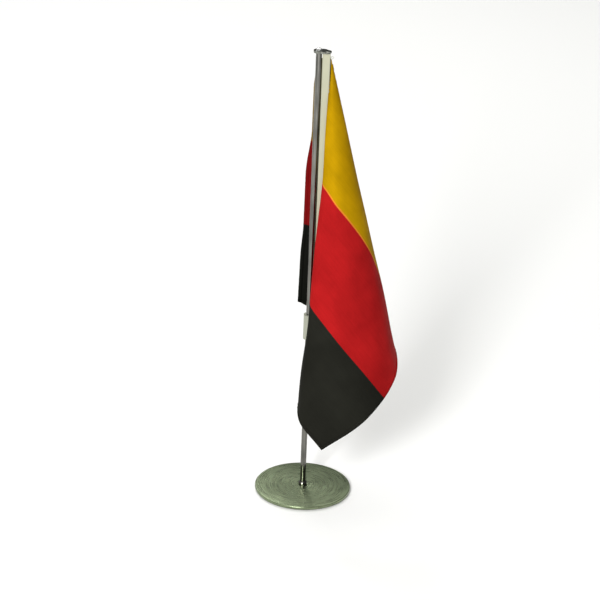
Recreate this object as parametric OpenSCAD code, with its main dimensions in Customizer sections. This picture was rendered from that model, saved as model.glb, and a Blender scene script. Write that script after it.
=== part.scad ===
// Desk flag stand: a weighted brushed disc, a slim chromed pole, and a satin
// flag that swivels about the pole on a hanger plate and a lower clip.
// Millimetres. +Z is up, the pole stands on the Z axis, and the underside of
// the base lies on Z = 0. The flag hangs towards +X.

/* [Base] */
// Diameter of the base disc
base_d = 60; // [50:1:80]
// Height of the base at its rim, pad included
base_h = 2.2; // [2:0.1:3]
// Rise of the domed top from the rim to the centre
dome_rise = 0.4; // [0.2:0.1:1]
// Radius that rounds the upper edge of the rim
rim_r = 0.6; // [0.5:0.1:0.8]
// Thickness of the spun cover
skin_t = 0.4; // [0.3:0.1:0.5]
// Thickness of the felt pad
pad_t = 0.5; // [0.4:0.1:0.7]

/* [Pole] */
// Outer diameter of the pole
pole_d = 3.6; // [3.2:0.1:4.2]
// Wall thickness of the pole tube
pole_wall = 0.5; // [0.4:0.05:0.6]
// Height of the top of the tube above the surface
pole_top = 286.5; // [270:0.5:320]
// Diameter of the collar at the foot of the pole
collar_d = 5.4; // [5:0.1:7]
// Height of the collar
collar_h = 2.4; // [2:0.1:4]

/* [Flag hardware] */
// Width of the header strips that carry the cloth
header_w = 4.7; // [4:0.1:6]
// Thickness of the front header strip
batten_t = 1.1; // [0.8:0.1:1.3]
// Thickness of the rear header strip
backing_t = 0.8; // [0.6:0.1:1]
// Length of the header strips
header_len = 171; // [150:1:180]
// Thickness of the hanger plate at the pole
plate_t = 1.3; // [0.9:0.1:1.6]
// How much lower the plate's top is at its outer end
plate_fall = 0.6; // [0:0.1:0.7]
// Outer diameter of the lower clip
clip_d = 6.6; // [6:0.1:8]
// Height of the lower clip
clip_h = 16; // [10:1:20]

/* [Cloth] */
// Length of the hoist edge of the flag
hoist = 160; // [140:1:180]
// How far the draped cloth reaches out from the pole
drape_reach = 55; // [45:1:60]
// How far the lowest corner of the cloth hangs below the hoist
drape_drop = 82; // [60:1:90]
// How far the folds reach to the front and to the rear of the pole
drape_depth = 32; // [20:1:36]

/* [Hidden] */
$fn = 96;

fit = 0.05;              // radial and axial clearance of a running fit
soft_gap = 0.35;         // clearance between the cloth and what it hangs on
pole_r = pole_d / 2;
bore_r = pole_r - pole_wall;
base_r = base_d / 2;
base_top = base_h + dome_rise;
pad_inset = 3;
shell_foot = 0.3;        // gap between the cover's lower lip and the surface
ballast_top = base_h - rim_r;
ballast_r = base_r - skin_t - 0.1;
insert_r = 2.5;
insert_flange_r = 4.2;
insert_flange_t = 0.4;
stud_top = 14;
stud_chamfer = 0.3;
plug_len = 10;
screw_r = 0.75;
screw_len = 7;
screw_head_r = 2.1;
screw_head_h = 1.4;
slot_w = 0.5;            // driver slot across the domed head
washer_t = 0.3;
plate_z = pole_top + washer_t + fit;
plate_r = 3.2;
plate_reach = 4.2;       // from the pole's axis to the centre of the plate's outer end
tab_t = 0.6;
tab_h = 8;
cloth_slot = 0.5;        // gap between the two header strips
header_x = pole_r + 0.3; // inner edge of the header strips
header_mid = header_x + header_w / 2;
header_top = plate_z - fit;
header_foot = header_top - header_len;
batten_y = -cloth_slot / 2 - batten_t;
backing_y = cloth_slot / 2;
tab_y = backing_y + backing_t;
rivet_r = 0.5;
rivet_head_r = 0.9;
rivet_head_t = 0.35;
rivet_count = 4;
clip_r = clip_d / 2;
clip_slit = 1.6;
clip_z = header_foot - clip_h + 4;
cord_r = 0.3;
cord_loop_r = 0.75;
cloth_top = header_top - 4;
cloth_foot = cloth_top - hoist - drape_drop;
cloth_round = 4;         // radius that rounds the corners of the cloth's solid
skirt_z = cloth_top - hoist - 22;    // height of the lowest part of the rear folds
slot_x = header_x + header_w + soft_gap;
slot_y = clip_r + soft_gap;

// Corners of the cloth's solid: the skirt from the front left round to the rear left,
// then the two lower ends of the front fold and its tip.
cloth_corners = [
    [-2, 6 - drape_depth, skirt_z], [drape_reach - 9, 9 - drape_depth, skirt_z],
    [drape_reach - cloth_round, 0, skirt_z], [drape_reach - 12, drape_depth - 8, skirt_z],
    [6, drape_depth - 6, skirt_z], [-2, 8, skirt_z + 20],
    [-2, 2 - drape_depth, cloth_foot + 34], [drape_reach - 14, 5 - drape_depth, cloth_foot + 32],
    [17, 1 - drape_depth, cloth_foot + cloth_round]
];

// A disc ring around the Z axis.
module ring(outer_r, inner_r, z, h) {
    translate([0, 0, z]) difference() {
        cylinder(r = outer_r, h = h);
        translate([0, 0, -1]) cylinder(r = inner_r, h = h + 2);
    }
}

// A rivet through the header strips, along Y, with a flat head on the rear face.
module rivet(z, rear_y) {
    translate([header_mid, 0, z]) rotate([-90, 0, 0]) {
        translate([0, 0, batten_y + 0.3]) cylinder(r = rivet_r, h = rear_y - batten_y - 0.3);
        translate([0, 0, rear_y]) cylinder(r = rivet_head_r, h = rivet_head_t);
    }
}

// The hole that a rivet passes through, cut in a strip.
module rivet_hole(z) {
    translate([header_mid, 0, z]) rotate([-90, 0, 0])
        translate([0, 0, batten_y + 0.3]) cylinder(r = rivet_r, h = 6);
}

function rivet_z(i) = header_foot + clip_h + 12
    + i * (header_len - clip_h - tab_h - 20) / (rivet_count - 1);
upper_rivet_z = header_top - tab_h / 2;
clip_rivet_z = header_foot + 2;

// Spun brushed cover: domed top, rounded rim, open underneath.
module base_shell() {
    color([0.55, 0.58, 0.50]) rotate_extrude() polygon(concat(
        [[screw_r + 1.2, base_top], [base_r * 0.35, base_top - dome_rise * 0.12],
         [base_r * 0.7, base_top - dome_rise * 0.5]],
        [for (a = [90:-15:0])
            [base_r - rim_r + rim_r * cos(a), base_h - rim_r + rim_r * sin(a)]],
        [[base_r, shell_foot], [base_r - skin_t, shell_foot],
         [base_r - skin_t, ballast_top], [base_r - rim_r, base_h - skin_t],
         [base_r * 0.7, base_top - dome_rise * 0.5 - skin_t],
         [base_r * 0.35, base_top - dome_rise * 0.12 - skin_t],
         [screw_r + 1.2, base_top - skin_t]]));
}

// Steel ballast disc with a seat for the threaded insert.
module base_ballast() {
    color([0.32, 0.32, 0.33]) difference() {
        translate([0, 0, pad_t]) cylinder(r = ballast_r, h = ballast_top - pad_t);
        translate([0, 0, pad_t - 1]) cylinder(r = insert_r, h = base_h + 2);
        translate([0, 0, pad_t - 1]) cylinder(r = insert_flange_r, h = 1 + insert_flange_t);
    }
}

// Felt pad under the base.
module base_pad() {
    color([0.10, 0.12, 0.10]) cylinder(r = base_r - pad_inset, h = pad_t);
}

// Flanged brass insert that the pole's stud screws into.
module base_insert() {
    color([0.78, 0.62, 0.30]) difference() {
        union() {
            translate([0, 0, pad_t]) cylinder(r = insert_flange_r, h = insert_flange_t);
            translate([0, 0, pad_t]) cylinder(r = insert_r, h = base_h - skin_t - pad_t);
        }
        translate([0, 0, pad_t - 1]) cylinder(r = bore_r + fit, h = base_h + 2);
    }
}

// Steel stud pressed into the foot of the tube.
module foot_stud() {
    color([0.60, 0.60, 0.62]) translate([0, 0, pad_t + 0.2]) {
        cylinder(r1 = bore_r - stud_chamfer, r2 = bore_r, h = stud_chamfer);
        translate([0, 0, stud_chamfer]) cylinder(r = bore_r, h = stud_top - stud_chamfer);
    }
}

// Turned collar that closes the joint between pole and base.
module foot_collar() {
    color([0.85, 0.86, 0.84]) rotate_extrude() translate([0, base_top + fit]) polygon([
        [pole_r, 0], [collar_d / 2, 0], [collar_d / 2, collar_h * 0.55],
        [collar_d / 2 - 0.3, collar_h * 0.8], [collar_d / 2 - 0.7, collar_h],
        [pole_r, collar_h]]);
}

// Chromed tube.
module pole_tube() {
    color([0.85, 0.86, 0.84])
        ring(pole_r, bore_r, base_top + fit, pole_top - base_top - fit);
}

// Threaded plug in the top of the tube.
module top_plug() {
    color([0.78, 0.62, 0.30]) ring(bore_r, screw_r + fit, pole_top - plug_len, plug_len);
}

// Nylon washer that the hanger plate turns on.
module swivel_washer() {
    color([0.90, 0.90, 0.86]) ring(pole_r, screw_r + 0.2, pole_top, washer_t);
}

// Slotted screw with a domed head that holds the hanger plate on the pole.
module dome_screw() {
    head_z = plate_z + plate_t + fit;
    ball_r = (screw_head_r * screw_head_r + screw_head_h * screw_head_h) / (2 * screw_head_h);
    color([0.90, 0.90, 0.90]) {
        translate([0, 0, head_z - screw_len]) cylinder(r = screw_r, h = screw_len + 0.2);
        difference() {
            intersection() {
                translate([0, 0, head_z + screw_head_h - ball_r]) sphere(r = ball_r);
                translate([0, 0, head_z]) cylinder(r = screw_head_r, h = screw_head_h + 1);
            }
            translate([-screw_head_r - 1, -slot_w / 2, head_z + screw_head_h * 0.6])
                cube([2 * screw_head_r + 2, slot_w, screw_head_h]);
        }
    }
}

// Oval plate on top of the pole, with a tab bent down behind the header.
module hanger_plate() {
    color([0.30, 0.31, 0.29]) {
        difference() {
            translate([0, 0, plate_z]) union() {
                cylinder(r = plate_r, h = plate_t);
                hull() {
                    translate([screw_head_r, 0, 0]) cylinder(r = plate_r, h = plate_t - fit);
                    translate([plate_reach, 0, 0]) cylinder(r = plate_r, h = plate_t - plate_fall);
                }
            }
            translate([0, 0, plate_z - 1]) cylinder(r = screw_r + 0.2, h = plate_t + 2);
        }
        difference() {
            translate([header_x + 0.4, tab_y, header_top - tab_h])
                cube([header_w - 0.8, tab_t, tab_h + fit + 0.3]);
            rivet_hole(upper_rivet_z);
        }
    }
}

// Front header strip, with its front edges eased.
module header_batten() {
    ease = 0.35;
    color([0.88, 0.87, 0.78]) difference() {
        translate([0, 0, header_foot]) linear_extrude(header_len) polygon([
            [header_x, batten_y + ease], [header_x + ease, batten_y],
            [header_x + header_w - ease, batten_y], [header_x + header_w, batten_y + ease],
            [header_x + header_w, -cloth_slot / 2], [header_x, -cloth_slot / 2]]);
        for (i = [0:rivet_count - 1]) rivet_hole(rivet_z(i));
        rivet_hole(upper_rivet_z);
        rivet_hole(clip_rivet_z);
    }
}

// Rear header strip.
module header_backing() {
    color([0.82, 0.81, 0.72]) difference() {
        translate([header_x, backing_y, header_foot]) cube([header_w, backing_t, header_len]);
        for (i = [0:rivet_count - 1]) rivet_hole(rivet_z(i));
        rivet_hole(upper_rivet_z);
        rivet_hole(clip_rivet_z);
    }
}

// Rivets that clamp the two strips together.
module header_rivets() {
    color([0.80, 0.80, 0.78])
        for (i = [0:rivet_count - 1]) rivet(rivet_z(i), backing_y + backing_t);
}

// Rivet that joins the header to the hanger plate's tab.
module upper_rivet() {
    color([0.80, 0.80, 0.78]) rivet(upper_rivet_z, tab_y + tab_t);
}

// Split clip that runs on the pole and holds the foot of the header.
module lower_clip() {
    ear_x = header_x + header_w;
    color([0.66, 0.67, 0.62]) difference() {
        union() {
            translate([0, 0, clip_z]) cylinder(r = clip_r, h = clip_h);
            translate([pole_r, -clip_r + 0.6, clip_z])
                cube([ear_x - pole_r, 2 * clip_r - 1.2, clip_h]);
        }
        translate([0, 0, clip_z - 1]) cylinder(r = pole_r + fit, h = clip_h + 2);
        translate([-clip_r - 1, -clip_slit / 2, clip_z - 1]) cube([clip_r, clip_slit, clip_h + 2]);
        translate([header_x - 0.05, batten_y, header_foot])
            cube([header_w + 1, tab_y - batten_y, header_len]);
        rivet_hole(clip_rivet_z);
    }
}

// Rivet that holds the header in the clip.
module clip_rivet() {
    color([0.80, 0.80, 0.78]) rivet(clip_rivet_z, clip_r - 0.6);
}

// Cord loop that ties the upper corner of the cloth to the header.
module hoist_cord() {
    color([0.90, 0.89, 0.84])
        translate([header_x + header_w + cord_loop_r + cord_r, 0, cloth_top + 1])
            rotate([90, 0, 0]) rotate_extrude($fn = 48)
                translate([cord_loop_r, 0]) circle(r = cord_r, $fn = 16);
}

// Draped cloth as one closed solid, open around the pole and its fittings.
module flag_cloth() {
    color([0.78, 0.10, 0.12]) difference() {
        hull() {
            translate([slot_x + 1.5, 0, cloth_top - 3]) sphere(r = 1.5, $fn = 24);
            for (corner = cloth_corners)
                translate(corner) sphere(r = cloth_round, $fn = 24);
        }
        translate([-slot_y, -slot_y, -1]) cube([slot_x + slot_y, 2 * slot_y, pole_top + 20]);
    }
}

base_shell();
base_ballast();
base_pad();
base_insert();
foot_stud();
foot_collar();
pole_tube();
top_plug();
swivel_washer();
dome_screw();
hanger_plate();
header_batten();
header_backing();
header_rivets();
upper_rivet();
lower_clip();
clip_rivet();
hoist_cord();
flag_cloth();
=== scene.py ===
import math

import bmesh
import bpy
import numpy as np
from mathutils import Matrix, Vector


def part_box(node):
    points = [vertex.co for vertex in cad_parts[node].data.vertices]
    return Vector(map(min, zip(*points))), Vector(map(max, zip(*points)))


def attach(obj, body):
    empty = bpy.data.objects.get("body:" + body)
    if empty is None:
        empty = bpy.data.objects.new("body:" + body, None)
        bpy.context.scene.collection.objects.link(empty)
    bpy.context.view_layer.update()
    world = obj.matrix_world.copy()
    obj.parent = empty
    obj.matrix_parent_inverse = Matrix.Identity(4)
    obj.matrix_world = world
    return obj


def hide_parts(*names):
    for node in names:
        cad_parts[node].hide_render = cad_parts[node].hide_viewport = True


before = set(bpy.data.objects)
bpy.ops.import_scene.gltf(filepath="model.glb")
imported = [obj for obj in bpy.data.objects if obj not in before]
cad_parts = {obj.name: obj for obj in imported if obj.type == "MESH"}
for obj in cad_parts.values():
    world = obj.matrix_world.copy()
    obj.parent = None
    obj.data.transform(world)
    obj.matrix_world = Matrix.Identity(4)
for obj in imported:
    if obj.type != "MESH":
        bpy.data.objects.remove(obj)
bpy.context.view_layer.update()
MM = 0.001

# ---------------------------------------------------------------- camera

CAMERA_BACK = 1.3        # metres in front of the pole
CAMERA_UP = 0.6975
CAMERA_PITCH = 23.61     # degrees below the horizon
CAMERA_ROLL = 2.2        # degrees
LENS_MM = 139.7
SENSOR_MM = 36.0
SHIFT_X = -0.016


def add_camera():
    """The photo's viewpoint."""
    data = bpy.data.cameras.new("camera")
    data.lens = LENS_MM
    data.sensor_width = SENSOR_MM
    data.shift_x = SHIFT_X
    data.clip_end = 50.0
    camera = bpy.data.objects.new("camera", data)
    bpy.context.scene.collection.objects.link(camera)
    tilt = Matrix.Rotation(math.radians(90 - CAMERA_PITCH), 4, "X")
    roll = Matrix.Rotation(math.radians(CAMERA_ROLL), 4, "Z")
    camera.matrix_world = Matrix.Translation((0, -CAMERA_BACK, CAMERA_UP)) @ tilt @ roll
    bpy.context.scene.camera = camera


# ---------------------------------------------------------------- the flag's cut size

HOIST = 160.0            # millimetres, the edge along the pole
FLY = 201.0              # the edge away from the pole
MARGIN = 16.0            # cloth on the far side of the header, behind the pole
HEM = 2.2                # width of the turned hem
CLOTH_T = 0.22           # thickness of the satin
GRID = 1.6               # spacing of the cloth's mesh
HEM_GRID = 1.0           # and across the hems
STRIPE = HOIST / 3       # height of one stripe
# Down from the top: the narrow overprint starts and ends here, and then red ends.
STRIPE_EDGES = [STRIPE - 0.5, STRIPE + 0.4, 2 * STRIPE]


# ---------------------------------------------------------------- materials

def new_material(name, base, roughness, metallic=0.0):
    """A Principled material, and its node tree, shader and texture coordinates."""
    material = bpy.data.materials.new(name)
    material.use_nodes = True
    tree = material.node_tree
    shader = tree.nodes["Principled BSDF"]
    shader.inputs["Base Color"].default_value = (*base, 1)
    shader.inputs["Roughness"].default_value = roughness
    shader.inputs["Metallic"].default_value = metallic
    return material, tree, shader, tree.nodes.new("ShaderNodeTexCoord")


def noise(tree, vector, scale, detail=3.0, stretch=None):
    """A noise texture of a coordinate, stretched along its axes if asked."""
    if stretch is not None:
        mapping = tree.nodes.new("ShaderNodeMapping")
        mapping.inputs["Scale"].default_value = stretch
        tree.links.new(vector, mapping.inputs["Vector"])
        vector = mapping.outputs["Vector"]
    node = tree.nodes.new("ShaderNodeTexNoise")
    node.inputs["Scale"].default_value = scale
    node.inputs["Detail"].default_value = detail
    tree.links.new(vector, node.inputs["Vector"])
    return node.outputs["Fac"]


def math_node(tree, operation, a, b=None):
    """A Math node; a and b are sockets or numbers."""
    node = tree.nodes.new("ShaderNodeMath")
    node.operation = operation
    for socket, value in zip(node.inputs, (a, b)):
        if value is None:
            continue
        if isinstance(value, (int, float)):
            socket.default_value = value
        else:
            tree.links.new(value, socket)
    return node.outputs[0]


def ramp(tree, value, stops):
    """Maps a value to colours; stops are (position, colour)."""
    node = tree.nodes.new("ShaderNodeValToRGB")
    elements = node.color_ramp.elements
    while len(elements) < len(stops):
        elements.new(0.5)
    for element, (position, color) in zip(elements, stops):
        element.position = position
        element.color = (*color, 1)
    tree.links.new(value, node.inputs["Fac"])
    return node.outputs["Color"]


def spread(tree, value, low, high):
    """Maps 0 to 1 on to low to high."""
    node = tree.nodes.new("ShaderNodeMapRange")
    node.inputs["To Min"].default_value = low
    node.inputs["To Max"].default_value = high
    tree.links.new(value, node.inputs["Value"])
    return node.outputs["Result"]


def bump(tree, shader, height, strength, distance):
    """Bump on a shader from a height between 0 and 1; distance is in metres."""
    node = tree.nodes.new("ShaderNodeBump")
    node.inputs["Strength"].default_value = strength
    node.inputs["Distance"].default_value = distance
    tree.links.new(height, node.inputs["Height"])
    tree.links.new(node.outputs["Normal"], shader.inputs["Normal"])


def shade(color, factor):
    """A lighter or darker colour."""
    return tuple(min(1.0, c * factor) for c in color)


THREAD_MM = 0.62         # one group of warp threads of the satin
WEFT_RATIO = 1.35        # weft threads to one warp thread
# Painted shade: the colour that the strip past the header is darkened by, for its shadow behind the
# pole.
MARGIN_PAINTED_SHADE = (0.42, 0.46, 0.46)


def satin(name, color, sheen=0.008):
    """Satin cloth: fine warp and weft in the cloth's own flat coordinates, uneven dye and sheen,
    and painted shade on the strip past the header.
    """
    material, tree, shader, coords = new_material(name, color, 0.42, 0.12)
    shader.inputs["Sheen Weight"].default_value = sheen
    shader.inputs["Sheen Roughness"].default_value = 0.35
    shader.inputs["Specular IOR Level"].default_value = 0.0
    flat = coords.outputs["UV"]
    parts = tree.nodes.new("ShaderNodeSeparateXYZ")
    tree.links.new(flat, parts.inputs[0])
    per_mm = 2 * math.pi / THREAD_MM
    warp = math_node(tree, "SINE", math_node(tree, "MULTIPLY", parts.outputs[0], per_mm))
    weft = math_node(tree, "SINE",
                     math_node(tree, "MULTIPLY", parts.outputs[1], per_mm * WEFT_RATIO))
    weave = math_node(tree, "MULTIPLY", warp, weft)
    slub = noise(tree, flat, 1.0, 4.0, (0.05, 1.1, 1))
    cloud = noise(tree, flat, 0.05, 3.0)
    grain = math_node(tree, "ADD", math_node(tree, "MULTIPLY", weave, 0.16),
                      math_node(tree, "MULTIPLY", slub, 0.5))
    mixed = math_node(tree, "ADD", math_node(tree, "MULTIPLY", grain, 0.5),
                      math_node(tree, "MULTIPLY", cloud, 0.7))
    dyed = ramp(tree, mixed, [(0.3, shade(color, 0.8)), (0.5, color), (0.7, shade(color, 1.2))])
    # Painted shade: the dye is darkened on the strip past the header, which lies in shadow behind
    # the pole.
    margin = math_node(tree, "SUBTRACT", parts.outputs[0], MARGIN - 2)
    margin_painted_shade = ramp(tree, math_node(tree, "MULTIPLY", margin, 0.5),
                 [(0.0, MARGIN_PAINTED_SHADE), (1.0, (1.0, 1.0, 1.0))])
    painted_shade_mix = tree.nodes.new("ShaderNodeMixRGB")
    painted_shade_mix.blend_type = "MULTIPLY"
    painted_shade_mix.inputs["Fac"].default_value = 1.0
    tree.links.new(dyed, painted_shade_mix.inputs["Color1"])
    tree.links.new(margin_painted_shade, painted_shade_mix.inputs["Color2"])
    tree.links.new(painted_shade_mix.outputs["Color"], shader.inputs["Base Color"])
    tree.links.new(spread(tree, slub, 0.34, 0.46), shader.inputs["Roughness"])
    bump(tree, shader, grain, 0.35, 0.00012)
    return material


DISC_COLOR = (0.25, 0.30, 0.183)
RINGS_PER_M = 1500.0     # how fine the turning marks are across the disc


def brushed_disc(name):
    """Steel turned on a lathe: arcs of fine scratches round the centre, and a few stray ones."""
    color = DISC_COLOR
    material, tree, shader, coords = new_material(name, color, 0.36, 1.0)
    parts = tree.nodes.new("ShaderNodeSeparateXYZ")
    tree.links.new(coords.outputs["Object"], parts.inputs[0])
    x, y = parts.outputs[0], parts.outputs[1]
    radius = math_node(tree, "SQRT", math_node(tree, "ADD", math_node(tree, "MULTIPLY", x, x),
                                              math_node(tree, "MULTIPLY", y, y)))
    angle = math_node(tree, "ARCTAN2", y, x)
    polar = tree.nodes.new("ShaderNodeCombineXYZ")
    tree.links.new(math_node(tree, "MULTIPLY", radius, RINGS_PER_M), polar.inputs[0])
    tree.links.new(math_node(tree, "MULTIPLY", angle, 1.6), polar.inputs[1])
    rings = noise(tree, polar.outputs[0], 1.0, 5.0)
    across = tree.nodes.new("ShaderNodeCombineXYZ")
    tree.links.new(math_node(tree, "MULTIPLY", radius, 160.0), across.inputs[0])
    tree.links.new(math_node(tree, "MULTIPLY", angle, 34.0), across.inputs[1])
    stray = noise(tree, across.outputs[0], 1.0, 4.0)
    stain = noise(tree, coords.outputs["Object"], 45.0, 3.0)
    mixed = math_node(tree, "ADD", math_node(tree, "MULTIPLY", rings, 0.55),
                      math_node(tree, "MULTIPLY", stain, 0.45))
    tree.links.new(ramp(tree, mixed, [(0.3, shade(color, 0.6)), (0.5, color),
                                      (0.72, shade(color, 1.6))]),
                   shader.inputs["Base Color"])
    tree.links.new(spread(tree, rings, 0.2, 0.36), shader.inputs["Roughness"])
    height = math_node(tree, "ADD", rings, math_node(tree, "MULTIPLY", stray, 1.8))
    bump(tree, shader, height, 0.5, 0.00006)
    return material


def metal(name, color, roughness, scratch=900.0):
    """Polished or turned metal with faint streaks and smudges."""
    material, tree, shader, coords = new_material(name, color, roughness, 1.0)
    streak = noise(tree, coords.outputs["Object"], scratch, 3.0, (1.0, 1.0, 0.05))
    smudge = noise(tree, coords.outputs["Object"], 60.0, 2.0)
    tone = math_node(tree, "ADD", math_node(tree, "MULTIPLY", streak, 0.6),
                     math_node(tree, "MULTIPLY", smudge, 0.4))
    tree.links.new(ramp(tree, tone, [(0.4, shade(color, 0.6)), (0.6, shade(color, 1.25))]),
                   shader.inputs["Base Color"])
    tree.links.new(spread(tree, streak, roughness * 0.75, roughness * 1.35),
                   shader.inputs["Roughness"])
    bump(tree, shader, streak, 0.12, 0.00002)
    return material


def moulded(name, color, roughness):
    """Moulded plastic with a fine surface texture."""
    material, tree, shader, coords = new_material(name, color, roughness)
    speck = noise(tree, coords.outputs["Object"], 700.0, 4.0)
    tone = noise(tree, coords.outputs["Object"], 35.0, 2.0, (1.0, 1.0, 0.3))
    tree.links.new(ramp(tree, tone, [(0.3, shade(color, 0.88)), (0.7, shade(color, 1.04))]),
                   shader.inputs["Base Color"])
    tree.links.new(spread(tree, speck, roughness * 0.8, roughness * 1.2),
                   shader.inputs["Roughness"])
    bump(tree, shader, speck, 0.2, 0.00004)
    return material


def felt(name, color):
    """Matted fibres."""
    material, tree, shader, coords = new_material(name, color, 0.95)
    fibre = noise(tree, coords.outputs["Object"], 1600.0, 5.0)
    tree.links.new(ramp(tree, fibre, [(0.3, shade(color, 0.6)), (0.7, shade(color, 1.7))]),
                   shader.inputs["Base Color"])
    bump(tree, shader, fibre, 0.8, 0.0003)
    return material


GOLD = (0.40, 0.225, 0.002)
RED = (0.36, 0.010, 0.011)
BLACK = (0.0145, 0.0145, 0.0115)
OVERPRINT = (0.62, 0.20, 0.02)

cloth_materials = [satin("satin_gold", GOLD), satin("satin_overprint", OVERPRINT),
                   satin("satin_red", RED), satin("satin_black", BLACK, 0.006)]
chrome = metal("chrome_polished", (0.165, 0.162, 0.147), 0.12)
dark_chrome = metal("chrome_smoked", (0.20, 0.205, 0.18), 0.16)
plain_steel = metal("steel_plain", (0.50, 0.50, 0.47), 0.28)
bright_steel = metal("steel_bright", (0.86, 0.86, 0.83), 0.16)
brass = metal("brass_turned", (0.55, 0.38, 0.13), 0.25)
cream = moulded("header_cream", (0.42, 0.415, 0.30), 0.36)
clip_grey = moulded("clip_grey", (0.33, 0.34, 0.27), 0.45)
nylon = moulded("nylon_natural", (0.78, 0.77, 0.68), 0.5)
thread = felt("thread_white", (0.68, 0.66, 0.56))
pad_felt = felt("felt_dark", (0.016, 0.022, 0.016))
cast_steel = metal("steel_cast", (0.12, 0.12, 0.12), 0.5, 300.0)
disc_steel = brushed_disc("steel_brushed")

NODE_MATERIALS = {
    "base_shell": disc_steel, "base_ballast": cast_steel, "base_pad": pad_felt,
    "base_insert": brass, "foot_stud": plain_steel, "foot_collar": chrome,
    "pole_tube": chrome, "top_plug": brass, "swivel_washer": nylon, "dome_screw": bright_steel,
    "hanger_plate": dark_chrome, "header_batten": cream, "header_backing": cream,
    "header_rivets": plain_steel, "upper_rivet": plain_steel, "clip_rivet": plain_steel,
    "lower_clip": clip_grey, "hoist_cord": thread, "flag_cloth": cloth_materials[2],
}
for node_name, material in NODE_MATERIALS.items():
    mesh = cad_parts[node_name].data
    mesh.materials.clear()
    mesh.materials.append(material)


def new_piece(name, mesh, body):
    """An object from a finished mesh, riding on a body."""
    for polygon in mesh.polygons:
        polygon.use_smooth = True
    piece = bpy.data.objects.new(name, mesh)
    bpy.context.scene.collection.objects.link(piece)
    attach(piece, body)
    return piece


# ---------------------------------------------------------------- base cover

def build_base_cover():
    """The spun cover: a shallow dome, a rolled rim and a returned lip, turned about the pole."""
    low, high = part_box("base_shell")
    outer = high[0]
    top = high[2]
    rise = 0.4 * MM
    rim_z = top - rise
    rim_r = 0.6 * MM
    skin = 0.4 * MM
    hole = 1.95 * MM
    steps = 192
    dome = [(hole + (outer - rim_r - hole) * t, top - rise * t ** 4)
            for t in np.linspace(0, 1, 24)]
    edge = [(outer - rim_r + rim_r * math.cos(a), rim_z - rim_r + rim_r * math.sin(a))
            for a in np.radians(np.linspace(85, 0, 12))]
    lip = [(outer, low[2] + 0.15 * MM), (outer - 0.15 * MM, low[2]),
           (outer - skin, low[2]), (outer - skin, rim_z - rim_r)]
    under = [(outer - rim_r, rim_z - skin), (hole, top - skin)]
    profile = dome + edge + lip + under
    turned = bmesh.new()
    rings = []
    for r, z in profile:
        rings.append([turned.verts.new((r * math.cos(a), r * math.sin(a), z))
                      for a in np.linspace(0, 2 * math.pi, steps, endpoint=False)])
    rings.append(rings[0])
    for inner, outer_ring in zip(rings, rings[1:]):
        for k in range(steps):
            n = (k + 1) % steps
            turned.faces.new((inner[k], outer_ring[k], outer_ring[n], inner[n]))
    bmesh.ops.recalc_face_normals(turned, faces=turned.faces)
    mesh = bpy.data.meshes.new("base_cover")
    turned.to_mesh(mesh)
    turned.free()
    mesh.materials.append(disc_steel)
    piece = new_piece("base_cover", mesh, "base")
    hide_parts("base_shell")


# ---------------------------------------------------------------- the draped flag

# All the folds of a drooping flag run out from its upper corner. Each entry is
# the direction of one straight fold line there, in degrees to the right of
# straight down, and in degrees away from the front. In order, they are the
# inner layer behind the pole, the layer that comes back in front of it, the
# front face, and the outer layer at the back.
FOLDS = [
    (0.0, 0.5), (3.5, 6.5), (8.2, 8.2), (12.4, 5.8), (13.1, 0.5), (9.8, -4.2),
    (5.2, -5.6), (2.0, -2.5), (-0.8, -1.9), (-2.4, -3.6),
    (-2.6, -6.0), (0.7, -7.4), (4.0, -8.0), (7.2, -7.6), (9.9, -6.0), (12.0, -3.8),
    (13.5, -0.8), (13.8, 3.5), (12.4, 7.2), (9.2, 9.4), (5.0, 9.2), (1.0, 9.4), (-1.2, 7.5),
]

# The ripples across the folds: height, waves for each radian, for each millimetre, and phase.
RIPPLES = [(0.9, 9.0, 0.018, 0.0), (0.6, -5.0, 0.047, 1.3), (0.35, 13.0, 0.11, 0.4)]
RIPPLE_SHARE = 0.55

# How the strip past the header swings to the rear: degrees at its foot, and
# then the further degrees between two heights in millimetres.
SWING_FOOT = 6
SWINGS = [(30, 150, 176), (29, 208, 236), (9, 262, 276)]

# Two places where a fold is pushed sideways: millimetres, and the angles in the flat
# cloth, in degrees, between which the push comes in and goes out.
LEAN = (1.4, (38, 42), (47, 54))
OPENING = (2.4, (38, 41.5), (43, 45.5))
CURL_BACK = 4.5          # how far the lowest corner curls, in millimetres
CURL_UP = 0.8


def smoothstep(x, low, high):
    """0 below low, 1 above high, and smooth between them."""
    t = np.clip((x - low) / (high - low), 0, 1)
    return t * t * (3 - 2 * t)


def window(x, comes, goes):
    """1 between two smooth steps, the pairs comes and goes, and 0 outside them."""
    return smoothstep(x, *comes) * smoothstep(-x, -goes[1], -goes[0])


def fold_directions(angles):
    """Unit vectors of the fold lines. angles, in radians, are measured in the flat cloth from
    the hoist, and the same angle is spent along the path of FOLDS, so the cloth isn't stretched."""
    points = np.radians(np.array(FOLDS))
    samples = 40                     # from one fold line to the next
    path = []
    for i in range(len(points) - 1):
        p0, p1 = points[max(i - 1, 0)], points[i]
        p2, p3 = points[i + 1], points[min(i + 2, len(points) - 1)]
        t = np.linspace(0, 1, samples, endpoint=False)[:, None]
        path.append(0.5 * (2 * p1 + (p2 - p0) * t + (2 * p0 - 5 * p1 + 4 * p2 - p3) * t ** 2
                           + (3 * p1 - p0 - 3 * p2 + p3) * t ** 3))
    path = np.tan(np.concatenate(path))
    rays = np.column_stack([path, -np.ones(len(path))])
    rays /= np.linalg.norm(rays, axis=1)[:, None]
    turn = np.arccos(np.clip((rays[1:] * rays[:-1]).sum(1), -1, 1))
    spent = np.concatenate([[0], np.cumsum(turn)])
    found = np.column_stack([np.interp(angles, spent, rays[:, k]) for k in range(3)])
    return found / np.linalg.norm(found, axis=1)[:, None]


header_low, header_high = (np.array(c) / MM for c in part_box("header_batten"))
UPPER_CORNER = np.array([header_high[0] + 0.6, -0.4, header_high[2] - 3.8])


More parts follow.
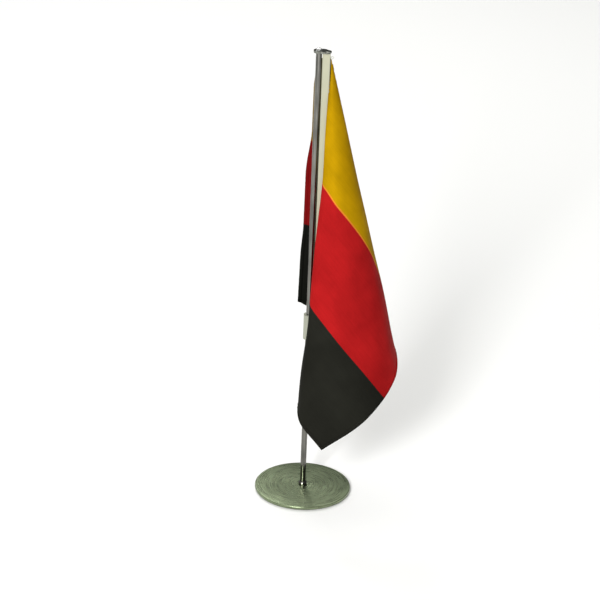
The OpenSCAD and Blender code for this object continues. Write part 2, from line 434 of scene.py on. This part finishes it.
def margin_points(start, width):
    """The strip of cloth past the header: behind the rear strip and the pole, then outwards.
    start is where it leaves the header's edge, and width how far from there, in millimetres."""
    z = start[:, 2]
    back = 2.5                       # y of the cloth behind the rear strip
    corner_x, pole_x = 7.2, 0.8      # x where it turns behind the header, and where it swings
    lift = 3.5
    depth = np.maximum(back - start[:, 1], 0.2)
    across = corner_x - pole_x
    swing = np.radians(SWING_FOOT + sum(turn * smoothstep(z, low, high)
                                        for turn, low, high in SWINGS))
    first = np.clip(width / depth, 0, 1)
    second = np.clip((width - depth) / across, 0, 1)
    rest = np.maximum(width - depth - across, 0)
    x = start[:, 0] + (corner_x - start[:, 0]) * first - across * second - rest * np.cos(swing)
    y = start[:, 1] + depth * first + rest * np.sin(swing)
    # Its free lower corner lifts a little.
    z = z + lift * np.clip(rest / 7, 0, 1) * smoothstep(-z, -150, -124)
    return np.column_stack([x, y, z])


def drape(u, v):
    """Places flat cloth: u is millimetres from the header towards the fly, v down from the top."""
    angle = np.arctan2(np.maximum(u, 0), v)
    reach = np.hypot(np.maximum(u, 0), v)
    rays = fold_directions(angle)
    # The folds loosen away from the corner: low ripples that grow with the distance.
    ripple = sum(height * np.sin(around * angle + along * reach + phase)
                 for height, around, along, phase in RIPPLES)
    grow = smoothstep(reach, 25, 190)
    placed = UPPER_CORNER + rays * reach[:, None]
    side = np.cross(rays, fold_directions(angle + 0.01) - rays)
    side /= np.linalg.norm(side, axis=1)[:, None] + 1e-12
    placed += side * (ripple * grow * RIPPLE_SHARE)[:, None]
    # The near fold leans on the header's edge on its way down, and the one behind it opens
    # out to the left below.
    turn = np.degrees(angle)
    push, comes, goes = LEAN
    placed[:, 0] += push * np.exp(-((reach - 80) / 30) ** 2) * window(turn, comes, goes)
    push, comes, goes = OPENING
    placed[:, 0] -= push * smoothstep(reach, 150, 195) * window(turn, comes, goes)
    # The lowest corner curls back.
    curl = smoothstep(reach, 222, 246)
    placed[:, 1] += CURL_BACK * curl
    placed[:, 2] += CURL_UP * curl
    # Where the folds cross in front of the header, they lie on it.
    lies_on = header_low[1] - 0.4
    over = (smoothstep(-placed[:, 0], -header_high[0] - 1.4, -header_high[0] - 0.3)
            * (angle > math.radians(30)) * (angle < math.radians(60)))
    placed[:, 1] += over * np.minimum(lies_on - placed[:, 1], 0)
    strip = u < 0
    if strip.any():
        placed[strip] = margin_points(placed[strip], -u[strip])
    return placed


def band_edges(low, high, step, cuts):
    """Grid lines from low to high, about step apart, that include the cuts."""
    marks = sorted({low, high, *[c for c in cuts if low < c < high]})
    lines = []
    for a, b in zip(marks, marks[1:]):
        count = max(1, round((b - a) / step))
        lines += list(np.linspace(a, b, count, endpoint=False))
    return np.array(lines + [high])


def stripe_of(v):
    """Index of the material at v: gold, the narrow overprint, red, black."""
    return int(sum(v >= edge for edge in STRIPE_EDGES))


def cloth_grid(name, us, vs):
    """A sheet over the flat grid us by vs, with a flat UV map in mm."""
    grid_u, grid_v = (a.ravel() for a in np.meshgrid(us, vs, indexing="ij"))
    points = drape(grid_u, grid_v)
    count_v = len(vs)
    faces = []
    for i in range(len(us) - 1):
        for j in range(count_v - 1):
            a = i * count_v + j
            faces.append((a, a + 1, a + count_v + 1, a + count_v))
    mesh = bpy.data.meshes.new(name)
    mesh.from_pydata((points * MM).tolist(), [], faces)
    flat = mesh.uv_layers.new(name="flat")
    for loop in mesh.loops:
        index = loop.vertex_index
        flat.data[loop.index].uv = (grid_u[index] + MARGIN, HOIST - grid_v[index])
    for material in cloth_materials:
        mesh.materials.append(material)
    for polygon in mesh.polygons:
        j = polygon.index % (count_v - 1)
        polygon.material_index = stripe_of((vs[j] + vs[j + 1]) / 2)
    return mesh


def sheet_normals(u, v):
    """Unit normals of the draped cloth."""
    step = 0.2
    along = drape(u + step, v) - drape(u - step, v)
    down = drape(u, v + step) - drape(u, np.maximum(v - step, 0.01))
    normals = np.cross(along, down)
    return normals / (np.linalg.norm(normals, axis=1)[:, None] + 1e-12)


def thicken(piece, thickness):
    """Gives a sheet its thickness, in millimetres."""
    modifier = piece.modifiers.new("thickness", "SOLIDIFY")
    modifier.thickness = thickness * MM
    modifier.offset = 0.0


def build_flag():
    """The cloth, with its hems and stitches, on the flag's body."""
    us = band_edges(-MARGIN, FLY - MARGIN, GRID, [0])
    vs = band_edges(0.4, HOIST, GRID, STRIPE_EDGES)
    cloth = new_piece("flag_satin", cloth_grid("flag_satin", us, vs), "flag")
    thicken(cloth, CLOTH_T)
    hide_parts("flag_cloth")
    hem = build_hems()
    stitches = build_stitches()


def join_meshes(name, meshes):
    """One mesh from several, with the cloth's materials."""
    joined = bmesh.new()
    for mesh in meshes:
        joined.from_mesh(mesh)
    result = bpy.data.meshes.new(name)
    joined.to_mesh(result)
    joined.free()
    for material in cloth_materials:
        result.materials.append(material)
    return result


def build_hems():
    """Turned hems on all four edges, a second layer proud of the cloth."""
    proud = 0.05                     # how far a hem stands past the cloth's edge
    corner = 3.0                     # where the hems start, clear of the upper corners
    fly_edge = FLY - MARGIN
    top_u = band_edges(corner, fly_edge - HEM, GRID, [])
    top_v = band_edges(0.35, HEM, HEM_GRID, [])
    fly_u = band_edges(fly_edge - HEM, fly_edge + proud, HEM_GRID, [])
    foot_u = band_edges(-MARGIN, fly_edge - HEM, GRID, [0])
    side_v = band_edges(corner, HOIST + proud, GRID, STRIPE_EDGES)
    foot_v = band_edges(HOIST - HEM, HOIST + proud, HEM_GRID, [])
    hoist_u = band_edges(-MARGIN - proud, -MARGIN + HEM, HEM_GRID, [])
    mesh = join_meshes("flag_hems", [
        cloth_grid("hem_top", top_u, top_v),
        cloth_grid("hem_fly", fly_u, side_v),
        cloth_grid("hem_foot", foot_u, foot_v),
        cloth_grid("hem_hoist", hoist_u, side_v),
    ])
    piece = new_piece("flag_hems", mesh, "flag")
    thicken(piece, CLOTH_T * 2.6)
    return piece


# Along one stitch: the share of its length, the height over the cloth, the share of its radius.
STITCH_RINGS = [(0, 0.26, 0.3), (0.25, 0.36, 1), (0.75, 0.36, 1), (1, 0.26, 0.3)]


def build_stitches():
    """Lock stitches along the hems, on both faces of the cloth."""
    pitch, length, radius, inset = 2.6, 1.7, 0.11, HEM - 0.6
    clear = 3                        # the rows end this far from the corners, twice it on top
    glance = 0.3                     # how far ahead the row's direction is taken
    runs = []
    for v in np.arange(2 * clear, HOIST - clear, pitch):
        runs.append(((FLY - MARGIN - inset, v), (0, 1)))
        runs.append(((-MARGIN + inset, v), (0, 1)))
    for u in np.arange(-MARGIN + clear, FLY - MARGIN - clear, pitch):
        runs.append(((u, HOIST - inset), (1, 0)))
    starts = np.array([r[0] for r in runs])
    ways = np.array([r[1] for r in runs])
    made = bmesh.new()
    sides = 6
    slots = []
    for face in (-1, 1):
        rows = []
        for share, lift, width in STITCH_RINGS:
            at = starts + ways * (share * length)
            centre = drape(at[:, 0], at[:, 1])
            normal = sheet_normals(at[:, 0], at[:, 1]) * face
            ahead = drape(at[:, 0] + ways[:, 0] * glance, at[:, 1] + ways[:, 1] * glance) - centre
            across = np.cross(ahead, normal)
            across /= np.linalg.norm(across, axis=1)[:, None] + 1e-12
            rows.append([centre + normal * lift
                         + radius * width * (math.cos(t) * normal + math.sin(t) * across)
                         for t in np.linspace(0, 2 * math.pi, sides, endpoint=False)])
        for k in range(len(runs)):
            rings = [[made.verts.new(row[s][k] * MM) for s in range(sides)] for row in rows]
            for near, far in zip(rings, rings[1:]):
                for s in range(sides):
                    n = (s + 1) % sides
                    made.faces.new((near[s], near[n], far[n], far[s]))
            made.faces.new(rings[0][::-1])
            made.faces.new(rings[-1])
            slots += [stripe_of(starts[k][1])] * (3 * sides + 2)
    bmesh.ops.recalc_face_normals(made, faces=made.faces)
    mesh = bpy.data.meshes.new("flag_stitches")
    made.to_mesh(mesh)
    made.free()
    for material in cloth_materials:
        mesh.materials.append(material)
    for polygon, index in zip(mesh.polygons, slots):
        polygon.material_index = index
    return new_piece("flag_stitches", mesh, "flag")


# ---------------------------------------------------------------- cord loop

def build_cord_loop():
    """A loop of two-ply cord through the cloth's upper corner."""
    low, high = (np.array(c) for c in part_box("hoist_cord"))
    centre = (low + high) / 2
    strand_r = 0.17 * MM
    ply_r = 0.13 * MM
    ring_r = (high[0] - low[0]) / 2 - strand_r - ply_r
    made = bmesh.new()
    steps, sides, plies, twists = 96, 8, 2, 9
    for ply in range(plies):
        rings = []
        for a in np.linspace(0, 2 * math.pi, steps, endpoint=False):
            out = Vector((math.cos(a), 0, math.sin(a)))
            side = Vector((0, 1, 0))
            twist = twists * a + ply * math.pi
            middle = Vector(centre) + out * (ring_r + ply_r * math.cos(twist))
            middle += side * (ply_r * math.sin(twist))
            rings.append([
                made.verts.new(middle + (out * math.cos(t) + side * math.sin(t)) * strand_r)
                for t in np.linspace(0, 2 * math.pi, sides, endpoint=False)])
        for k in range(steps):
            for s in range(sides):
                n = (s + 1) % sides
                made.faces.new((rings[k][s], rings[(k + 1) % steps][s],
                                rings[(k + 1) % steps][n], rings[k][n]))
    bmesh.ops.recalc_face_normals(made, faces=made.faces)
    mesh = bpy.data.meshes.new("hoist_cord_twisted")
    made.to_mesh(mesh)
    made.free()
    mesh.materials.append(thread)
    piece = new_piece("hoist_cord_twisted", mesh, "flag")
    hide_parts("hoist_cord")


# ---------------------------------------------------------------- stage

FLOOR_SIZE = (12, 12)
FLOOR_AT = (0, 2, -0.0002)
FLOOR_COLOR = (0.93, 0.93, 0.92)
# Name, position, what it points at, size in metres, and power in watts.
LIGHTS = [
    ("key", (-0.4, -1.38, 0.8), (0, 0, 0.16), (0.3, 0.4), 23),
    ("rear_strip", (-0.42, 1.3, 1.18), (0, 0, 0), (0.45, 0.2), 4.6),
    ("overhead", (0.0, 0.8, 1.6), (0, 0.35, 0.0), (2.0, 1.5), 14),
]
WORLD_STRENGTH = 0.5
WORLD_LEAN = -0.45       # lets the bright part reach lower on the left


def add_plane(name, size, location, color):
    """A flat piece of the stage."""
    mesh = bpy.data.meshes.new(name)
    x, y = size[0] / 2, size[1] / 2
    mesh.from_pydata([(-x, -y, 0), (x, -y, 0), (x, y, 0), (-x, y, 0)], [], [(0, 1, 2, 3)])
    plane = bpy.data.objects.new(name, mesh)
    bpy.context.scene.collection.objects.link(plane)
    plane.location = location
    mesh.materials.append(new_material(name, color, 0.9)[0])


def add_area(name, location, target, size, power):
    """A rectangular light that points at a target."""
    data = bpy.data.lights.new(name, "AREA")
    data.shape = "RECTANGLE"
    data.size, data.size_y = size
    data.energy = power
    light = bpy.data.objects.new(name, data)
    bpy.context.scene.collection.objects.link(light)
    light.location = location
    way = Vector(target) - Vector(location)
    light.rotation_euler = way.to_track_quat("-Z", "Y").to_euler()


def add_world():
    """Soft studio surroundings: dim round the horizon, bright overhead and to the left."""
    world = bpy.data.worlds.new("studio")
    world.use_nodes = True
    tree = world.node_tree
    coords = tree.nodes.new("ShaderNodeTexCoord")
    parts = tree.nodes.new("ShaderNodeSeparateXYZ")
    tree.links.new(coords.outputs["Generated"], parts.inputs[0])
    lean = math_node(tree, "MULTIPLY", parts.outputs[0], WORLD_LEAN)
    height = math_node(tree, "ADD", parts.outputs[2], lean)
    sky = ramp(tree, height, [(0.45, (0.24, 0.25, 0.24)), (0.57, (1.0, 1.0, 0.97))])
    tree.links.new(sky, tree.nodes["Background"].inputs["Color"])
    tree.nodes["Background"].inputs["Strength"].default_value = WORLD_STRENGTH
    bpy.context.scene.world = world
    bpy.context.scene.view_settings.view_transform = "Standard"


def add_stage():
    """Floor, surroundings and lights."""
    add_plane("floor", FLOOR_SIZE, FLOOR_AT, FLOOR_COLOR)
    add_world()
    for light in LIGHTS:
        add_area(*light)


add_camera()
build_base_cover()
build_flag()
build_cord_loop()
add_stage()
